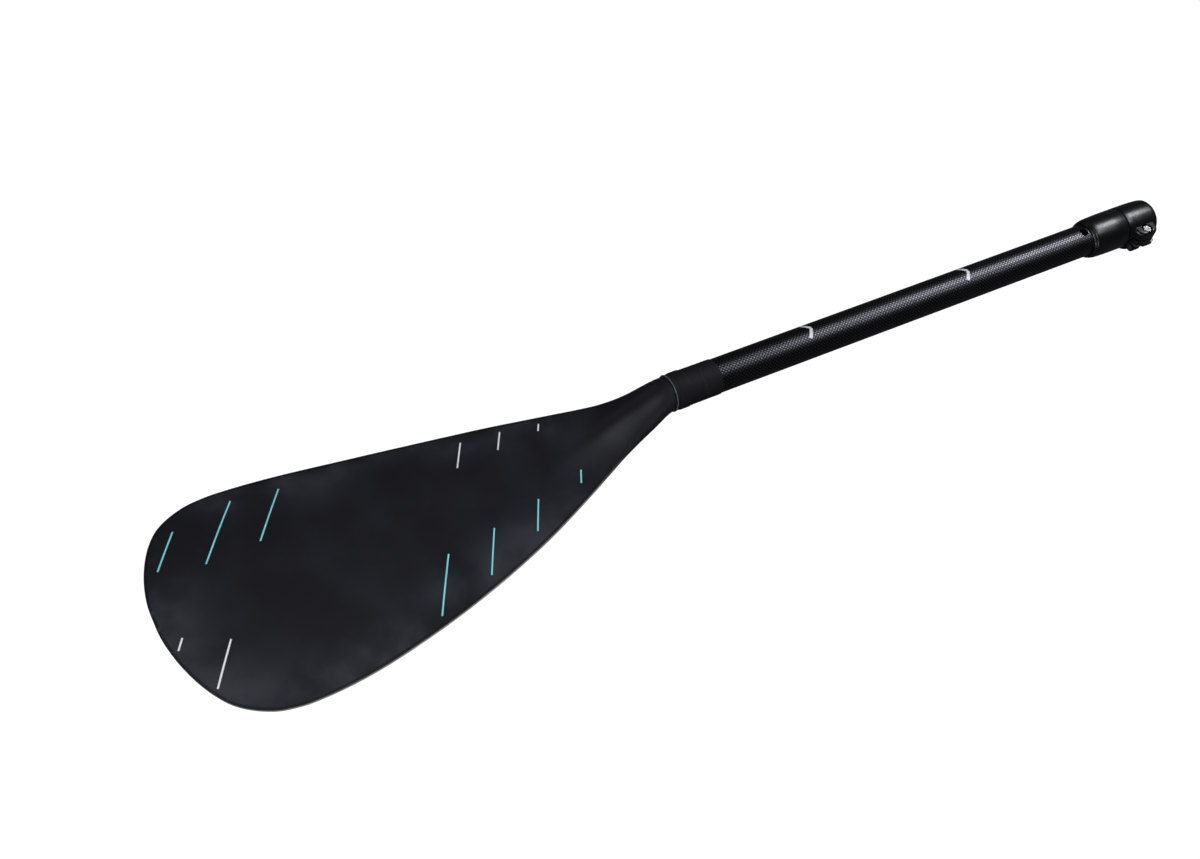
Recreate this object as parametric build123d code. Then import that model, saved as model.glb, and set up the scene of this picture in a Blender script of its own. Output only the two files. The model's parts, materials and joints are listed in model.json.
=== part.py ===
from build123d import *
import math
import os

os.makedirs("parts", exist_ok=True)

# ---------------------------------------------------------------- frames
# Shaft frame: origin on the shaft axis at the neck, +X toward the clamp,
# +Y across the blade, +Z out of the power face.  Everything is drawn here
# and moved to the resting frame at the end.

# ---------------------------------------------------------------- fits
GLUE_GAP = 0.05           # bonded fits inside one body
RUN_GAP = 0.05            # running fit, shaft in hole
FREE_GAP = 0.35           # gap between pieces that move past each other
PARTING_GAP = 0.04        # glue line between the two blade skins

# ---------------------------------------------------------------- shaft
SHAFT_R = 15.5            # outside radius of the tube
TUBE_WALL = 0.9
BORE_R = SHAFT_R - TUBE_WALL
GRIP_R = 14.4             # bore of the clamp ring, grips a 28.6 mm inner shaft
TUBE_LEN = 500.0          # the tube stops inside the collar
TUBE_START = 0.1          # glue line against the blade neck
SNAP_R = 4.2              # snap-button hole
SNAP_TURN = 7.0           # the hole sits this many degrees off the centre line
SNAP_BACK = 6.2           # hole centre to the start of the collar
PLUG_FROM = 262.0
PLUG_LEN = 40.0

# ---------------------------------------------------------------- neck parts
SLEEVE_LAP = 2.7          # the sleeve reaches this far onto the blade neck
SLEEVE_LEN = 43.0         # and this far along the tube
SLEEVE_T = 0.7
BAND_T = 1.3
BAND_FROM = 2.0
BAND_WIDE = 9.0
BEAD_WIDE = 0.85
BEAD_T = 1.25
NECK_ROOM = 0.4           # room over the moulded neck, which is not quite round
TENON_R = BORE_R - GLUE_GAP
TENON_LEN = 46.0
TENON_ROOT_R = 13.0       # the tenon inside the blade neck
TENON_TIP_R = 6.5
TENON_DEEP = 82.0

# ---------------------------------------------------------------- blade
BLADE_ANGLE = 22.44       # lay-back of the blade line at the neck, degrees
SCOOP = 0.000641          # lengthwise curve of the power face, per mm
DIHEDRAL = -0.000929      # crosswise curve of the power face, per mm
EDGE_T = 3.0              # thickness at the blade edge
MID_T = 4.0               # extra thickness along the middle
SPINE_T = 12.5            # height of the back spine at the neck
SKIN_T = 1.2              # laminate over the core
CORE_INSET = 12.0         # solid laminate border round the core
CORE_FROM = 90.0
BLADE_LEN = 446.0
BLADE_HALF = 107.1        # half the widest width
NECK_BLEND = 92.0         # the round neck has become a plate here
NECK_ROWS = ((0.0, 0.0), (4.0, 0.0), (12.0, 1.1), (20.0, 2.8))  # s, over the tube
# outline past the neck: share of the length, share of the widest half width
OUTLINE = (
    (0.0897, 0.2082), (0.1345, 0.2624), (0.1794, 0.3333), (0.2242, 0.4062),
    (0.2691, 0.4762), (0.3139, 0.5444), (0.3587, 0.6069), (0.4036, 0.6629),
    (0.4484, 0.7162), (0.4933, 0.7656), (0.5381, 0.8123), (0.5830, 0.8553),
    (0.6278, 0.8945), (0.6726, 0.9318), (0.7175, 0.9636), (0.7623, 0.9869),
    (0.8072, 1.0), (0.8520, 0.9981), (0.8969, 0.9552), (0.9417, 0.8282),
    (0.9686, 0.6499), (0.9865, 0.4388))
HALF_WIDTHS = tuple((s, SHAFT_R + w) for s, w in NECK_ROWS) + tuple(
    (s * BLADE_LEN, w * BLADE_HALF) for s, w in OUTLINE)

# ---------------------------------------------------------------- collar
SOCKET_DEEP = 34.7        # the tube goes this far into the collar
COLLAR_FROM = TUBE_LEN - SOCKET_DEEP
COLLAR_T = 4.2            # collar wall over the tube at its thickest
# start of the collar and its mouth: x from that end, share of the wall
LIP_ROWS = ((0.0, 0.24), (0.5, 0.45), (1.9, 0.60), (2.6, 0.52), (3.3, 0.72),
            (6.5, 0.86), (13.0, 0.94), (25.0, 1.0))
MOUTH_ROWS = ((-31.0, 1.0), (-19.0, 0.98), (-11.0, 0.91), (-4.6, 0.81),
              (-1.5, 0.66), (0.0, 0.38))
RING_LEN = 45.4           # from the end of the tube to the mouth
COLLAR_TO = TUBE_LEN + RING_LEN
COLLAR_R = SHAFT_R + COLLAR_T
SLIT_AT = 7.9             # slit that frees the clamp ring, past the tube end
SLIT_X = TUBE_LEN + SLIT_AT
SLIT_W = 1.2
SLIT_END_R = 1.3          # round relief at each end of the slit
WEB_MID = 92.0            # direction of the uncut web, degrees from +Z to +Y
WEB_HALF = 58.0
SPLIT_Z0 = 1.0            # axial split through the lugs
SPLIT_GAP = 2.0
SPLIT_Z1 = SPLIT_Z0 + SPLIT_GAP
LOW_LUG_T = 5.0
UP_LUG_T = 8.8
LUG_HALF = 12.9           # half the length of the lugs along the shaft
LUG_OUT = 6.4             # lugs beyond the screw
LUG_CORNER = 9.5
LUG_ROUND = 3.2

# ---------------------------------------------------------------- clamp
SCREW_BACK = 19.0         # screw centre back from the mouth
SCREW_SIDE = 5.8          # screw centre out from the clamp bore
SCREW_X = COLLAR_TO - SCREW_BACK
SCREW_Y = -(GRIP_R + SCREW_SIDE)
SCREW_R = 2.0
HEAD_AF = 7.6             # hexagon head, across the flats
HEAD_H = 4.4
DIMPLE_R = 1.7            # forged dimple in the head
DIMPLE_DEEP = 0.7
HEAD_R = HEAD_AF / math.sqrt(3.0)
POCKET_R = HEAD_R + 1.2
POCKET_DEEP = 5.8
WASHER_T = 0.8
WASHER_R = POCKET_R - 0.4
BARREL_R = 2.75           # lever pivot, its axis runs along the shaft
CAM_R = 4.4
CAM_THROW = 0.5           # offset of the cam circle from the pivot
PLATE_T = 0.8
PLATE_HALF = 4.3          # half width of the cam plate across the screw
LEVER_HALF = 12.4         # half the width of the lever along the shaft
BARREL_SHY = 0.5          # the barrel ends stop short of the cheek faces
SLOT_HALF = 3.8           # half the fork slot, the screw passes in it
SLOT_R = 6.6              # the slot reaches this far round the pivot
ARM_GAP = 0.5             # arm clear of the collar
ARM_T = 3.0
ARM_THIN = 0.7            # the arm thins by this much towards its tab
ARM_SPAN = 123.0          # degrees of collar that the arm wraps
TAB_LIFT = 1.6            # the tab stands off the arm by this much
TAB_CORNER = 5.0

LUG_X0 = SCREW_X - LUG_HALF
LUG_X1 = SCREW_X + LUG_HALF
LUG_Y = SCREW_Y - LUG_OUT
LUG_FLOOR = SPLIT_Z0 - LOW_LUG_T
LUG_TOP = SPLIT_Z1 + UP_LUG_T
POCKET_FLOOR = LUG_TOP - POCKET_DEEP
PLATE_Z = LUG_FLOOR - PLATE_T
PIVOT_Z = PLATE_Z - FREE_GAP - CAM_R - CAM_THROW
PLATE_Y0 = SCREW_Y - PLATE_HALF - 1.3
PLATE_Y1 = SCREW_Y + PLATE_HALF - 1.3
LEVER_X0 = SCREW_X - LEVER_HALF
LEVER_X1 = SCREW_X + LEVER_HALF
ARM_IN = COLLAR_R + ARM_GAP
ARM_OUT = ARM_IN + ARM_T
ARM_START = math.degrees(math.atan2(SCREW_Y, PIVOT_Z + CAM_THROW))
ARM_END = ARM_START - ARM_SPAN


# ================================================================ blade
def slope_at(i):
    # slope of the half-width table at row i
    if i == 0:
        return 0.0
    s0, w0 = HALF_WIDTHS[i - 1]
    s1, w1 = HALF_WIDTHS[i + 1]
    return (w1 - w0) / (s1 - s0)


def smooth(x):
    x = min(1.0, max(0.0, x))
    return x * x * (3.0 - 2.0 * x)


TIP_FROM = HALF_WIDTHS[-2][0]
TIP_K = HALF_WIDTHS[-2][1] / math.sqrt(BLADE_LEN - TIP_FROM)


def half_width(s):
    if s >= TIP_FROM:
        # the end closes like a round nose
        u = (s - TIP_FROM) / (BLADE_LEN - TIP_FROM)
        k = TIP_K * (1.0 + 0.043 * u)
        return k * math.sqrt(max(0.0, BLADE_LEN - s))
    for i in range(len(HALF_WIDTHS) - 2):
        s0, w0 = HALF_WIDTHS[i]
        s1, w1 = HALF_WIDTHS[i + 1]
        if s <= s1:
            d = s1 - s0
            u = max(0.0, (s - s0) / d)
            m0 = slope_at(i) * d
            m1 = slope_at(i + 1) * d
            a = w0 * (1 + 2 * u) * (1 - u) ** 2 + m0 * u * (1 - u) ** 2
            return a + w1 * u * u * (3 - 2 * u) + m1 * u * u * (u - 1)
    return HALF_WIDTHS[-2][1]


def tilt_at(s):
    return math.radians(BLADE_ANGLE) * smooth(s / 60.0)


def spot(s, v, h):
    # point in the shaft frame: s down the blade line, v across, h out
    b = math.radians(BLADE_ANGLE)
    t = tilt_at(s)
    lift = s * math.sin(b) * math.exp(-(s / 17.0) ** 2)
    x = -s * math.cos(b) - h * math.sin(t)
    z = -s * math.sin(b) + lift + h * math.cos(t)
    return (x, v, z)


def neck_mix(s):
    return smooth((s - 3.0) / (NECK_BLEND - 3.0))


def face_height(s, v):
    return SCOOP * s * s + DIHEDRAL * v * v


def bump(x):
    return math.exp(-x * x)


def top_height(s, v):
    rise = SHAFT_R * (1.0 - smooth(s / 128.0))
    return face_height(s, v) + rise * bump(v / (13.0 + 0.06 * s))


def under_height(s, v):
    w = max(half_width(min(s, 0.964 * BLADE_LEN)), 30.0)
    across = max(0.0, 1.0 - (v / w) ** 2)
    mid = MID_T * across * (1.0 - 0.55 * smooth((s / BLADE_LEN - 0.717) / 0.283))
    spine = SPINE_T * (1.0 - smooth(s / (0.964 * BLADE_LEN)))
    return face_height(s, v) - EDGE_T - mid - spine * bump(v / (15.0 + 0.05 * s))


def section_height(s, v, w, side, inset):
    # side +1: power face, -1: back face, 0: the parting line between them
    top = top_height(s, v) - inset
    low = under_height(s, v) + inset
    mid = 0.5 * (top + low)
    nose = min(1.0, (BLADE_LEN - s) / (0.5 * EDGE_T))
    half = 0.5 * (top - low) * math.sqrt(1.0 - (1.0 - nose) ** 2)
    d = max(0.0, w - abs(v))
    r = min(half, w)
    end = math.sqrt(max(0.0, 1.0 - (1.0 - min(1.0, d / r)) ** 2))
    mix = neck_mix(s)
    circle = math.sqrt(max(0.0, 1.0 - (v / w) ** 2)) * (SHAFT_R - inset)
    return mix * (mid + side * half * end) + (1.0 - mix) * side * circle


def section_edge(s, w, side, inset, count, shift):
    pts = []
    for i in range(count + 1):
        v = w * math.cos(math.pi * i / count)
        h = section_height(s, v, w, 0.0 if i in (0, count) else side, inset)
        pts.append(Vector(*spot(s, v, h + shift)))
    return Edge.make_spline(pts)


def section_wire(s, w, sides, inset, count, shift=0.0):
    one, two = sides
    return Wire([section_edge(s, w, one, inset, count, shift),
                 section_edge(s, w, two, inset, count, shift)])


NECK_STATIONS = (0.0, 5.0, 13.0, 22.0, 34.0, 48.0, 64.0, 82.0, 102.0, 126.0)
BODY_SHARES = (0.0, 0.105, 0.224, 0.354, 0.485, 0.616, 0.708, 0.783, 0.844, 0.894,
               0.934)
NOSE_BACK = (12.0, 6.0, 2.6, 0.9, 0.15)


def body_stations(share_to):
    first = 156.0
    last = BLADE_LEN
    return tuple(first + (last - first) * q for q in BODY_SHARES if q < share_to)


BLADE_STATIONS = NECK_STATIONS + body_stations(1.0) + tuple(
    BLADE_LEN - q for q in NOSE_BACK)


def blade_half(side):
    shift = side * 0.5 * PARTING_GAP
    return Solid.make_loft([section_wire(s, half_width(s), (side, 0.0), 0.0, 28, shift)
                            for s in BLADE_STATIONS])


def skins_core_tenon():
    stations = (CORE_FROM, CORE_FROM + 14.0, CORE_FROM + 36.0) + body_stations(0.93)
    core = Solid.make_loft([core_wire(s) for s in stations])
    places = (0.0, 0.17, 0.37, 0.59, 0.8, 1.0)
    root = Solid.make_loft([tenon_wire(q * TENON_DEEP) for q in places])
    plug = along_x(TENON_R, TENON_LEN)
    tenon = solid_of(root + plug)
    front = blade_half(1.0) - core - root
    back = blade_half(-1.0) - core - root
    return solid_of(front), solid_of(back), core, tenon


def core_wire(s):
    w = min(half_width(s), 0.962 * BLADE_HALF) - CORE_INSET
    w = w - 0.16 * max(0.0, s - 0.874 * BLADE_LEN)
    return section_wire(s, w, (1.0, -1.0), SKIN_T, 24)


def tenon_wire(s):
    r = TENON_ROOT_R + (TENON_TIP_R - TENON_ROOT_R) * smooth(s / TENON_DEEP)
    mid = neck_mix(s) * 0.5 * (top_height(s, 0.0) + under_height(s, 0.0))
    pts = []
    for i in range(24):
        q = 2.0 * math.pi * i / 24
        pts.append(spot(s, r * math.cos(q), mid + r * math.sin(q)))
    return Wire([Edge.make_spline([Vector(*p) for p in pts], periodic=True)])


# ================================================================ helpers
def solid_of(shape):
    found = shape.solids()
    return found[0] if len(found) == 1 else Compound(children=list(found))


def along_x(radius, length):
    return Rot(0, 90, 0) * Cylinder(radius, length, align=(Align.CENTER, Align.CENTER, Align.MIN))


def turned(profile):
    # profile: closed (x, r) points, turned about the shaft axis
    face = make_face(Polyline([(x, r) for x, r in profile], close=True))
    return revolve(Plane.XY * face, Axis.X)


def pipe(x0, x1, r_in, r_out):
    return turned([(x0, r_in), (x1, r_in), (x1, r_out), (x0, r_out)])


def bar_x(y, z, radius, x0, x1):
    return Pos(x0, y, z) * along_x(radius, x1 - x0)


def bar_z(x, y, radius, z0, z1):
    low = (Align.CENTER, Align.CENTER, Align.MIN)
    return Pos(x, y, z0) * Cylinder(radius, z1 - z0, align=low)


def block(x0, x1, y0, y1, z0, z1):
    low = (Align.MIN, Align.MIN, Align.MIN)
    return Pos(x0, y0, z0) * Box(x1 - x0, y1 - y0, z1 - z0, align=low)


def polar(radius, degrees):
    a = math.radians(degrees)
    return (radius * math.sin(a), radius * math.cos(a))


# ================================================================ shaft
def shaft_tube():
    tube = pipe(TUBE_START, TUBE_LEN, BORE_R, SHAFT_R)
    hole = bar_z(COLLAR_FROM - SNAP_BACK, 0, SNAP_R, 0.3 * SHAFT_R, SHAFT_R + 5)
    return solid_of(tube - Rot(SNAP_TURN, 0, 0) * hole)


def joint_sleeve():
    r_in = SHAFT_R + GLUE_GAP
    r_neck = SHAFT_R + NECK_ROOM
    r_out = SHAFT_R + SLEEVE_T
    r_band = SHAFT_R + BAND_T
    band_to = BAND_FROM + BAND_WIDE
    return solid_of(turned([
        (-SLEEVE_LAP, r_neck), (TUBE_START, r_neck), (TUBE_START, r_in),
        (SLEEVE_LEN, r_in), (SLEEVE_LEN, r_out - 0.25), (SLEEVE_LEN - 1.2, r_out),
        (band_to + 0.9, r_out), (band_to, r_band), (BAND_FROM, r_band),
        (BAND_FROM - 0.8, r_out + 0.1), (-SLEEVE_LAP, r_out + 0.1)]))


def neck_bead():
    r_in = SHAFT_R + NECK_ROOM
    top = SHAFT_R + BEAD_T
    end = -SLEEVE_LAP - GLUE_GAP
    start = end - BEAD_WIDE
    return solid_of(turned([(start, r_in), (end, r_in), (end, top - 0.25),
                            (end - 0.25, top), (start + 0.25, top), (start, top - 0.25)]))


def float_plug():
    return solid_of(bar_x(0, 0, BORE_R - GLUE_GAP, PLUG_FROM, PLUG_FROM + PLUG_LEN))


# ================================================================ clamp
def collar_profile():
    rows = [(COLLAR_FROM + x, SHAFT_R + k * COLLAR_T) for x, k in LIP_ROWS]
    rows += [(COLLAR_TO + x, SHAFT_R + k * COLLAR_T) for x, k in MOUTH_ROWS]
    return rows


def web_sector(half, thick):
    wedge = [(0.0, 0.0)]
    for k in range(9):
        wedge.append(polar(3.0 * COLLAR_R, WEB_MID - half + k * half / 4.0))
    face = make_face(Polyline(wedge, close=True))
    wedge = Plane.YZ * extrude(face, amount=thick, dir=(0, 0, 1))
    return Pos(SLIT_X - thick / 2, 0, 0) * wedge


def clamp_collar():
    rows = collar_profile()
    outer = turned([(COLLAR_FROM, 0.5 * GRIP_R)] + rows + [(COLLAR_TO, 0.5 * GRIP_R)])
    lug = block(LUG_X0, LUG_X1, LUG_Y, -0.75 * GRIP_R, LUG_FLOOR, LUG_TOP)
    lug = fillet(lug.edges().filter_by(Axis.Z).sort_by(Axis.Y)[:2], LUG_CORNER)
    rim = [e for e in lug.faces().sort_by(Axis.Z)[-1].edges() if e.center().Y < -0.78 * GRIP_R]
    lug = fillet(rim, LUG_ROUND)
    body = outer + lug
    body = body - bar_x(0, 0, SHAFT_R + GLUE_GAP, COLLAR_FROM - 1, TUBE_LEN + 0.1)
    body = body - bar_x(0, 0, GRIP_R, COLLAR_FROM, COLLAR_TO + 1)
    # slit round the collar: the web is left on the far side, the ends are round
    ring = pipe(SLIT_X - SLIT_W / 2, SLIT_X + SLIT_W / 2, 0.9 * GRIP_R, 1.5 * COLLAR_R)
    body = body - (ring - web_sector(WEB_HALF, 4 * SLIT_W))
    for way in (-1, 1):
        post = bar_z(SLIT_X, 0, SLIT_END_R, 0.5 * GRIP_R, 1.5 * COLLAR_R)
        body = body - Rot(-(WEB_MID + way * WEB_HALF), 0, 0) * post
    body = body - block(SLIT_X, COLLAR_TO + 1, LUG_Y - 1, -0.7 * GRIP_R, SPLIT_Z0, SPLIT_Z1)
    body = body - bar_z(SCREW_X, SCREW_Y, POCKET_R, POCKET_FLOOR, LUG_TOP + 5)
    body = body - bar_z(SCREW_X, SCREW_Y, SCREW_R + FREE_GAP, PIVOT_Z - 20, LUG_TOP + 5)
    # room for the cam plate and the cheeks
    room = 0.6
    body = body - block(LEVER_X0 - room, LEVER_X1 + room, LUG_Y - 1, PLATE_Y1 + 0.1,
                        PIVOT_Z, LUG_FLOOR)
    body = body - bar_x(SCREW_Y, PIVOT_Z, CAM_R + CAM_THROW + FREE_GAP,
                        LEVER_X0 - room, LEVER_X1 + room)
    return solid_of(body)


def cam_plate():
    plate = block(LEVER_X0, LEVER_X1, PLATE_Y0, PLATE_Y1, PLATE_Z, LUG_FLOOR)
    plate = fillet(plate.edges().filter_by(Axis.Z).sort_by(Axis.Y)[:2], 2.0)
    hole = bar_z(SCREW_X, SCREW_Y, SCREW_R + FREE_GAP, PLATE_Z - 1, LUG_FLOOR + 1)
    return solid_of(plate - hole)


def screw_washer():
    disc = bar_z(SCREW_X, SCREW_Y, WASHER_R, POCKET_FLOOR, POCKET_FLOOR + WASHER_T)
    hole = bar_z(SCREW_X, SCREW_Y, SCREW_R + FREE_GAP, POCKET_FLOOR - 1, POCKET_FLOOR + 5)
    return solid_of(disc - hole)


def clamp_screw():
    z0 = POCKET_FLOOR + WASHER_T + FREE_GAP
    foot = Plane(origin=(SCREW_X, SCREW_Y, z0))
    head = extrude(foot * RegularPolygon(HEAD_AF / 2, 6, major_radius=False), amount=HEAD_H)
    head = chamfer(head.faces().sort_by(Axis.Z)[-1].edges(), 0.45)
    socket = bar_z(SCREW_X, SCREW_Y, DIMPLE_R, z0 + HEAD_H - DIMPLE_DEEP, z0 + HEAD_H + 1)
    shank = bar_z(SCREW_X, SCREW_Y, SCREW_R, PIVOT_Z - BARREL_R + 0.4, z0 + 0.01)
    return solid_of(head + shank - socket)


def lever_barrel():
    bar = bar_x(SCREW_Y, PIVOT_Z, BARREL_R, LEVER_X0 + BARREL_SHY, LEVER_X1 - BARREL_SHY)
    return solid_of(bar - bar_z(SCREW_X, SCREW_Y, SCREW_R + RUN_GAP,
                                PIVOT_Z - 2 * BARREL_R, PIVOT_Z + 2 * BARREL_R))


def cam_lever():
    cam = bar_x(SCREW_Y, PIVOT_Z + CAM_THROW, CAM_R, LEVER_X0, LEVER_X1)
    inner = []
    outer = []
    for k in range(25):
        u = k / 24.0
        a = ARM_START + (ARM_END - ARM_START) * u
        lift = TAB_LIFT * smooth((u - 0.8) / 0.2)
        inner.append(polar(ARM_IN + lift, a))
        outer.append(polar(ARM_OUT + lift - ARM_THIN * u, a))
    wire = Wire([Edge.make_spline([Vector(y, z, 0) for y, z in inner]),
                 Edge.make_line(Vector(*inner[-1], 0), Vector(*outer[-1], 0)),
                 Edge.make_spline([Vector(y, z, 0) for y, z in reversed(outer)]),
                 Edge.make_line(Vector(*outer[0], 0), Vector(*inner[0], 0))])
    arm = Plane.YZ * extrude(Face(wire), amount=LEVER_X1 - LEVER_X0, dir=(0, 0, 1))
    arm = Pos(LEVER_X0, 0, 0) * arm
    lever = cam + arm
    y1, z1 = polar(0.5 * (ARM_IN + ARM_OUT), ARM_END)
    ends = [e for e in lever.edges()
            if e.length < 8.0 and abs(e.center().Y - y1) < 3.0 and abs(e.center().Z - z1) < 3.0]
    ends = [e for e in ends if abs(e.center().X - SCREW_X) > 5.0]
    lever = fillet(ends, TAB_CORNER)
    lever = lever - bar_x(SCREW_Y, PIVOT_Z, SLOT_R, SCREW_X - SLOT_HALF, SCREW_X + SLOT_HALF)
    lever = lever - bar_x(SCREW_Y, PIVOT_Z, BARREL_R + RUN_GAP, LEVER_X0 - 1, LEVER_X1 + 1)
    return solid_of(lever)


# ================================================================ rest
def lowest(points, tilt):
    return min(z * math.cos(tilt) - x * math.sin(tilt) for x, y, z in points)


def resting_tilt():
    # the blade edges and the lever underside both reach the floor
    edge = []
    for i in range(66):
        s = BLADE_LEN * (0.26 + 0.0112 * i)
        w = half_width(s)
        edge.append(spot(s, w, under_height(s, w)))
    lever = []
    for k in range(61):
        u = k / 60.0
        lift = TAB_LIFT * smooth((u - 0.8) / 0.2)
        a = ARM_START + (ARM_END - ARM_START) * u
        y, z = polar(ARM_OUT + lift - ARM_THIN * u, a)
        lever.append((LEVER_X0, y, z))
        lever.append((LEVER_X1, y, z))
    lo = 0.0
    hi = math.radians(10.0)
    for i in range(60):
        mid = 0.5 * (lo + hi)
        if lowest(edge, mid) < lowest(lever, mid):
            lo = mid
        else:
            hi = mid
    return mid


def main():
    front, back, core, tenon = skins_core_tenon()
    pieces = {
        "blade_front_skin": front,
        "blade_back_skin": back,
        "blade_core": core,
        "neck_tenon": tenon,
        "neck_bead": neck_bead(),
        "joint_sleeve": joint_sleeve(),
        "shaft_tube": shaft_tube(),
        "float_plug": float_plug(),
        "clamp_collar": clamp_collar(),
        "clamp_screw": clamp_screw(),
        "screw_washer": screw_washer(),
        "cam_plate": cam_plate(),
        "lever_barrel": lever_barrel(),
        "cam_lever": cam_lever(),
    }
    tilt = resting_tilt()
    turn = Rot(0, math.degrees(tilt), 0)
    turned_parts = {name: turn * shape for name, shape in pieces.items()}
    boxes = [shape.bounding_box() for shape in turned_parts.values()]
    mid_x = 0.5 * (min(q.min.X for q in boxes) + max(q.max.X for q in boxes))
    mid_y = 0.5 * (min(q.min.Y for q in boxes) + max(q.max.Y for q in boxes))
    shift = Pos(-mid_x, -mid_y, -min(q.min.Z for q in boxes))
    print("tilt", math.degrees(tilt), "shift", shift.position)
    for name, shape in turned_parts.items():
        placed = shift * shape
        solids = placed.solids()
        size = placed.bounding_box()
        print(name, len(solids), round(sum(q.volume for q in solids)),
              all(q.is_valid for q in solids), size)
        export_step(placed, "parts/" + name + ".step")


main()
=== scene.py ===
# %% [markdown]
# # Blade section of an adjustable paddle
# The object is the lower half of a paddle: a broad laminated blade, a woven
# tube, and at the far end a clamp collar that grips the upper shaft. The CAD
# frame already fixes every size and every joint. Blender adds the surfaces:
# the fine laminate of the blade, the weave under its clear coat, the shrunk
# sleeve and the moulded collar.

# %% Load the frame
import bpy
import bmesh
import json
import math
import random
from mathutils import Matrix, Vector
from mathutils.kdtree import KDTree


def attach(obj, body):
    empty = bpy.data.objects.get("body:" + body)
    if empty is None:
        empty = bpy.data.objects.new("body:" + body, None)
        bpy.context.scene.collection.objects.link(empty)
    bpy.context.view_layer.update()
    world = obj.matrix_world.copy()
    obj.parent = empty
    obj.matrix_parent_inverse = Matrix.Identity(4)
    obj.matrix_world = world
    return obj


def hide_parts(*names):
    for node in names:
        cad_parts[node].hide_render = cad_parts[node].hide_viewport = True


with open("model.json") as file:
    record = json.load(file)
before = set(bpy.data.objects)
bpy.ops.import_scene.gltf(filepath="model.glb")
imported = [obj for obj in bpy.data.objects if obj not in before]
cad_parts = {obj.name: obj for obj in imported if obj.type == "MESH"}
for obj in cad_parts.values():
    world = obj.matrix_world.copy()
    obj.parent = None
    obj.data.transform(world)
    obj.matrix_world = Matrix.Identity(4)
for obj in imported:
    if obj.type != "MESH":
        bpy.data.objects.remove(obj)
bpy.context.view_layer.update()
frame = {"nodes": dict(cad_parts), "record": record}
nodes = frame["nodes"]
mounts = {mount["name"]: mount for mount in frame["record"]["mounts"]}
joints = {joint["name"]: joint for joint in frame["record"]["behaviour"]["joints"]}

# %% [markdown]
# The whole paddle is measured along its shaft. The shaft lies at a small
# angle, because the blade and the clamp lever touch the same plane below them,
# so a second set of axes helps: *along* the shaft from the neck, *side*
# across the blade, and *out* of the power face. The socket mount and the axis
# of the clamp screw, both in the record, give those directions, so they
# aren't typed a second time.

# %% Shaft axes
MM = 0.001
SOCKET_AT = 522.75           # the socket mount, in mm from the neck
along = Vector(mounts["shaft_socket"]["axis"])
out = Vector(joints["screw_turn"]["axis"])
side = out.cross(along)
neck = Vector(mounts["shaft_socket"]["pos_m"]) - along * SOCKET_AT * MM


def at(t, y, z):
    """A point in mm along, across and out of the shaft, in metres."""
    return neck + (along * t + side * y + out * z) * MM


def lean(t, y, z):
    """A direction given in the shaft's own axes."""
    return along * t + side * y + out * z


print("neck", tuple(round(c, 4) for c in neck), "along", tuple(along))

# %% [markdown]
# The camera looks down the length of the paddle from above and beside the
# blade, a little rolled. It could be placed with angles, but a matrix is
# surer: its three columns are the right, up and backward directions of the
# view.

# %% Camera
CAMERA_AT = (-528.9, -625.7, 995.4)
CAMERA_RIGHT = (0.87380821, -0.4750179, 0.1040058)
CAMERA_UP = (0.32569281, 0.73053563, 0.60020154)
CAMERA_LENS = 45.0
CAMERA_SENSOR = 36.0
CAMERA_NEAR = 0.01           # nothing closer than 10 mm is drawn

right = lean(*CAMERA_RIGHT).normalized()
up = lean(*CAMERA_UP)
up = (up - right * up.dot(right)).normalized()
back = right.cross(up)
camera = bpy.data.objects.new("camera", bpy.data.cameras.new("camera"))
camera.data.lens = CAMERA_LENS
camera.data.sensor_width = CAMERA_SENSOR
camera.data.clip_start = CAMERA_NEAR
turn = Matrix((right, up, back)).transposed().to_4x4()
camera.matrix_world = Matrix.Translation(at(*CAMERA_AT)) @ turn
bpy.context.scene.collection.objects.link(camera)
bpy.context.scene.camera = camera
print("camera at", tuple(round(c, 3) for c in camera.location))

# %% [markdown]
# ## The blade's shape
# A paddle blade is pressed in a two-part mould. Its power face is scooped
# along its length and falls away to both sides; the back carries a spine that
# grows out of the neck. The same few curves describe both, so each point
# needs only its place down the blade (s), across it (v) and its height (h).
# The outline is a table of half widths with a smooth curve through them, and
# a parabola rounds off the tip.

# %% Blade outline
SHAFT_R = 15.5               # the neck starts as round as the tube
BLADE_LEN = 446.0
TIP_FROM = 432.0             # the parabola of the tip starts here
TIP_K0 = 18.6                # its width factor there, and at the very end
TIP_K1 = 19.4
WIDEST_AT = 371.0
HALF_WIDTHS = (
    (0, SHAFT_R), (4, SHAFT_R), (12, 16.6), (20, 18.3), (40, 22.3), (60, 28.1),
    (80, 35.7), (100, 43.5), (120, 51.0), (140, 58.3), (160, 65.0),
    (180, 71.0), (200, 76.7), (220, 82.0), (240, 87.0), (260, 91.6),
    (280, 95.8), (300, 99.8), (320, 103.2), (340, 105.7), (360, 107.1),
    (380, 106.9), (400, 102.3), (420, 88.7), (432, 69.6), (440, 47.0))


def slope_at(i):
    if i == 0:
        return 0.0
    s0, w0 = HALF_WIDTHS[i - 1]
    s1, w1 = HALF_WIDTHS[i + 1]
    return (w1 - w0) / (s1 - s0)


def half_width(s):
    if s >= TIP_FROM:
        u = (s - TIP_FROM) / (BLADE_LEN - TIP_FROM)
        return (TIP_K0 + (TIP_K1 - TIP_K0) * u) * math.sqrt(max(0.0, BLADE_LEN - s))
    for i in range(len(HALF_WIDTHS) - 2):
        s0, w0 = HALF_WIDTHS[i]
        s1, w1 = HALF_WIDTHS[i + 1]
        if s <= s1:
            d = s1 - s0
            u = max(0.0, (s - s0) / d)
            a = w0 * (1 + 2 * u) * (1 - u) ** 2 + slope_at(i) * d * u * (1 - u) ** 2
            return a + w1 * u * u * (3 - 2 * u) + slope_at(i + 1) * d * u * u * (u - 1)


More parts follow.
